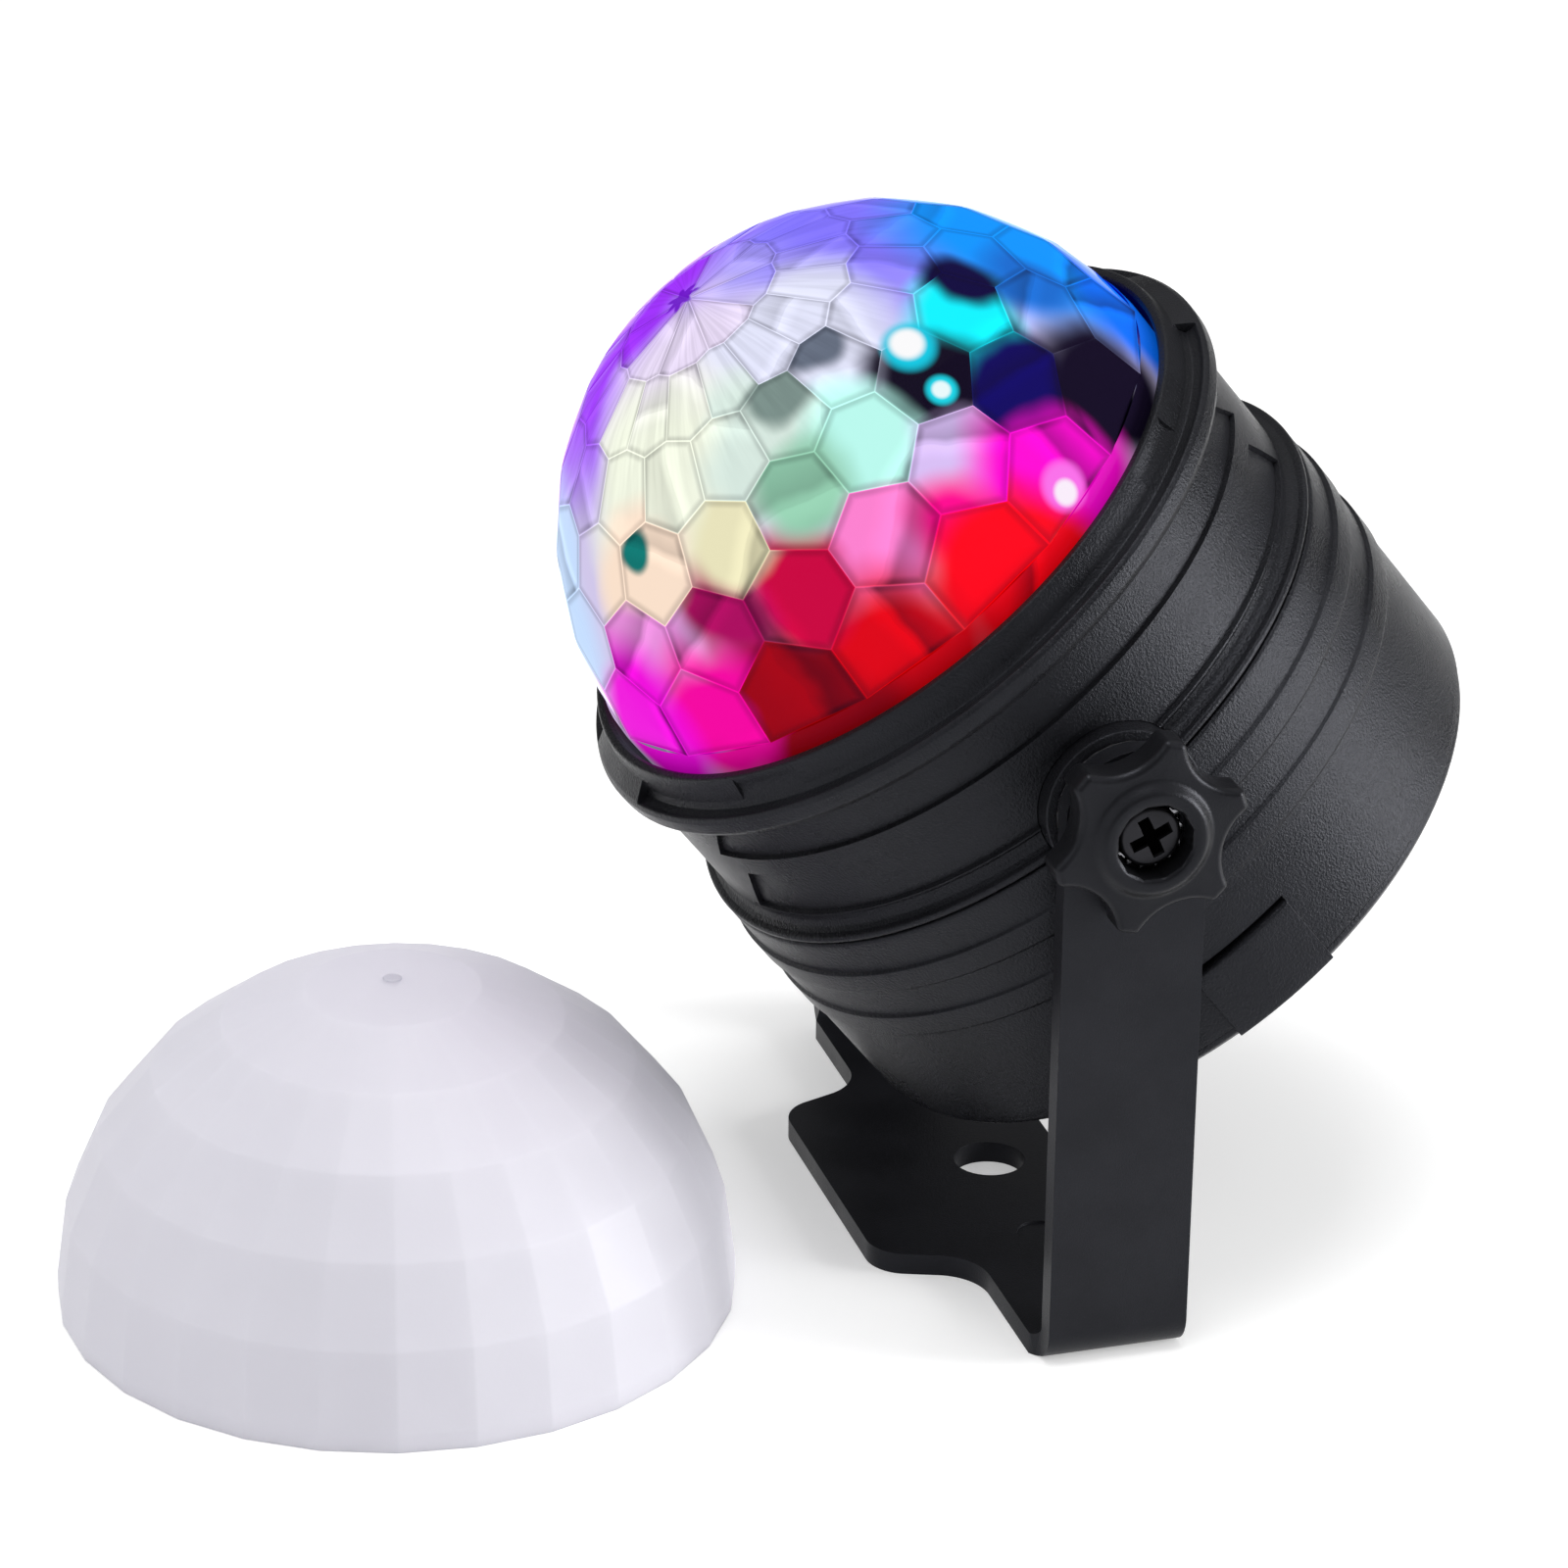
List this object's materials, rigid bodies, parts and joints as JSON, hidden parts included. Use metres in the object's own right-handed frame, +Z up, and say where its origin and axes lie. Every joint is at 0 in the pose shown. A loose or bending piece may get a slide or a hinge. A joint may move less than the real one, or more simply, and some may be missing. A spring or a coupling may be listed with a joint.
{
  "type": "led disco ball light",
  "caption": "Small stage light: a drum-shaped head with a turning faceted crystal dome, held by star knobs in a U-shaped bracket, with a separate white diffuser dome.",
  "frame": {"origin": "middle of the bracket's footprint, on the plane of its underside", "axes": "+Z up, the lamp's front leans to -Y, and the tilt axis runs along X"},
  "size_m": [0.1104, 0.1766, 0.1302],
  "materials": {
    "black_plastic": "fine spark-eroded grain, satin black",
    "dark_metal": "black oxide, low sheen",
    "steel": "zinc plated",
    "brass": "turned, knurled",
    "aluminium": "plain cast and sawn",
    "nylon": "natural, smooth",
    "white_plastic": "milky white, semi-gloss, slightly translucent",
    "crystal": "clear polished acrylic lens facets, lit from inside in several colours",
    "green_board": "solder mask",
    "white_board": "white solder mask",
    "chip_plastic": "moulded black",
    "blue_sleeve": "shrunk sleeve",
    "white_wire": "wire insulation",
    "red_wire": "wire insulation",
    "red_lens": "clear tinted lens",
    "green_lens": "clear tinted lens",
    "blue_lens": "clear tinted lens",
    "white_lens": "clear lens over yellow phosphor"
  },
  "bodies": {
    "stand": {"bracket": "black_plastic", "pivot_washer_right": "steel", "pivot_washer_left": "steel"},
    "head": {"front_housing": "black_plastic", "rear_drum": "black_plastic", "rear_cover": "black_plastic", "rear_cover_screw_1": "dark_metal", "rear_cover_screw_2": "dark_metal", "rear_cover_screw_3": "dark_metal", "rear_cover_screw_4": "dark_metal", "housing_screw_1": "steel", "housing_screw_2": "steel", "housing_screw_3": "steel", "led_screw_1": "steel", "led_screw_2": "steel", "board_screw_1": "steel", "board_screw_2": "steel", "led_board": "white_board", "heat_sink": "aluminium", "red_led": "red_lens", "green_led": "green_lens", "blue_led": "blue_lens", "white_led": "white_lens", "drive_motor": "steel", "control_board": "green_board", "driver_chip": "chip_plastic", "capacitor": "blue_sleeve", "lead_connector": "nylon", "microphone": "aluminium", "dc_socket": "chip_plastic", "led_lead": "white_wire", "motor_lead": "chip_plastic", "power_lead": "red_wire", "pivot_insert_right": "brass", "pivot_insert_left": "brass"},
    "dome": {"crystal_dome": "crystal", "ring_gear": "nylon"},
    "pinion": {"motor_pinion": "nylon", "motor_shaft": "steel"},
    "right_knob": {"knob_right": "black_plastic", "pivot_screw_right": "dark_metal"},
    "left_knob": {"knob_left": "black_plastic", "pivot_screw_left": "dark_metal"},
    "diffuser": {"diffuser_dome": "white_plastic"}
  },
  "joints": [
    {"name": "head_tilt", "type": "hinge", "parent": "stand", "child": "head", "pos_m": [0, 0.00595, 0.0709], "axis": [1, 0, 0], "range_deg": [-128.4, 51.6]},
    {"name": "dome_spin", "type": "hinge", "parent": "head", "child": "dome", "pos_m": [0, 0.00595, 0.0709], "axis": [0, -0.6211, 0.7837], "continuous": true},
    {"name": "pinion_spin", "type": "hinge", "parent": "head", "child": "pinion", "pos_m": [0, -0.01599, 0.05351], "axis": [0, -0.6211, 0.7837], "continuous": true},
    {"name": "right_knob_turn", "type": "hinge", "parent": "stand", "child": "right_knob", "pos_m": [0, 0.00595, 0.0709], "axis": [1, 0, 0], "range_deg": [0, 720]},
    {"name": "left_knob_turn", "type": "hinge", "parent": "stand", "child": "left_knob", "pos_m": [0, 0.00595, 0.0709], "axis": [-1, 0, 0], "range_deg": [0, 720]},
    {"name": "diffuser_slide", "type": "slide", "parent": "stand", "child": "diffuser", "axis": [0, -1, 0], "range_m": [0, 0.06]}
  ],
  "couplings": [
    {"joint": "pinion_spin", "follows": "dome_spin", "ratio": 6.6}
  ]
}
